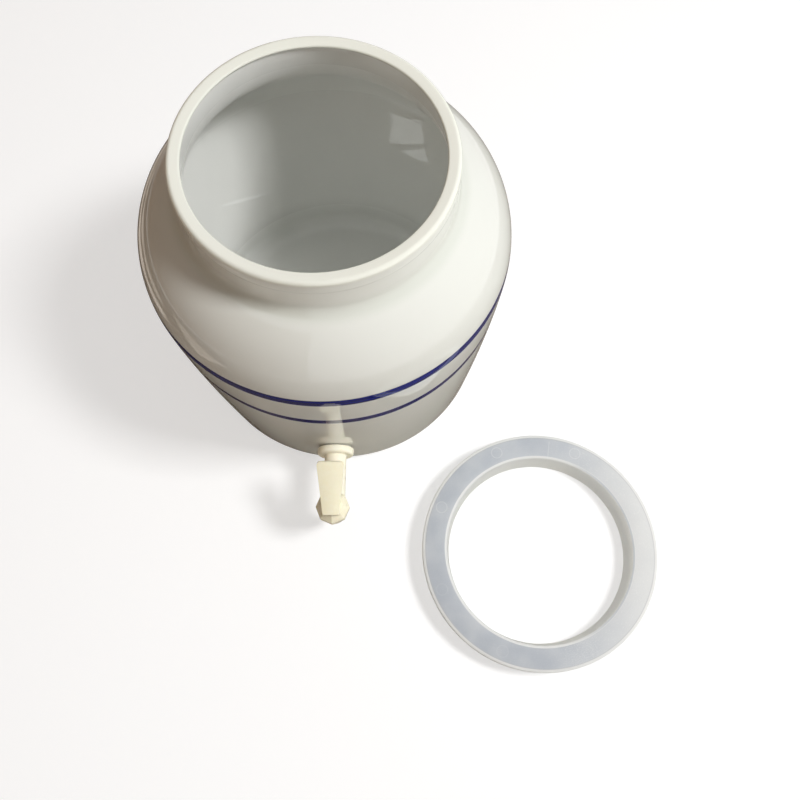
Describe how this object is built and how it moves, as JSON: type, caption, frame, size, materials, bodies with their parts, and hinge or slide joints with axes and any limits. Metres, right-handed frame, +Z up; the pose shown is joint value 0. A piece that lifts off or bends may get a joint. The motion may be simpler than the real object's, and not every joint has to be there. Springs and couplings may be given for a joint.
{
  "type": "ceramic water crock",
  "caption": "Round-shouldered glazed ceramic water crock with painted bands, a lever tap near its base that closes by itself, and a loose plastic ring that seats a water bottle in its mouth.",
  "frame": {"origin": "centre of the crock's foot, on the table", "axes": "+Z up along the crock's axis, -Y out through the tap, +X to the right as seen by someone facing the tap"},
  "size_m": [0.421, 0.4575, 0.288],
  "materials": {
    "glaze": "glossy off-white glaze with two painted blue bands, bare at the foot ring",
    "ring_plastic": "milky translucent moulded plastic",
    "tap_plastic": "glossy moulded cream plastic",
    "washer_rubber": "matt grey rubber",
    "nut_plastic": "moulded cream plastic",
    "bonnet_plastic": "glossy moulded cream plastic",
    "cup_silicone": "soft milky silicone",
    "stem_plastic": "moulded cream plastic",
    "lever_plastic": "glossy moulded cream plastic",
    "pin_steel": "plain steel"
  },
  "bodies": {
    "crock": {"crock_body": "glaze", "outer_washer": "washer_rubber", "inner_washer": "washer_rubber", "shank_nut": "nut_plastic", "tap_body": "tap_plastic", "bonnet": "bonnet_plastic", "seat_cup": "cup_silicone"},
    "valve_stem": {"valve_stem": "stem_plastic"},
    "lever": {"lever": "lever_plastic", "lever_pin": "pin_steel"},
    "bottle_ring": {"bottle_ring": "ring_plastic"}
  },
  "joints": [
    {"name": "stem_lift", "type": "slide", "parent": "crock", "child": "valve_stem", "axis": [0, 0, 1], "range_m": [0, 0.0037], "stiffness_N_per_m": 1500, "springref_m": -0.002, "deforming": ["seat_cup"]},
    {"name": "lever", "type": "hinge", "parent": "valve_stem", "child": "lever", "pos_m": [0, -0.18736, 0.084], "axis": [1, 0, 0], "range_deg": [0, 40]},
    {"name": "ring_lift", "type": "slide", "parent": "crock", "child": "bottle_ring", "axis": [0, 0, 1], "range_m": [0, 0.3]}
  ],
  "couplings": [
    {"joint": "lever", "follows": "stem_lift", "rad_per_m": 188.68}
  ]
}
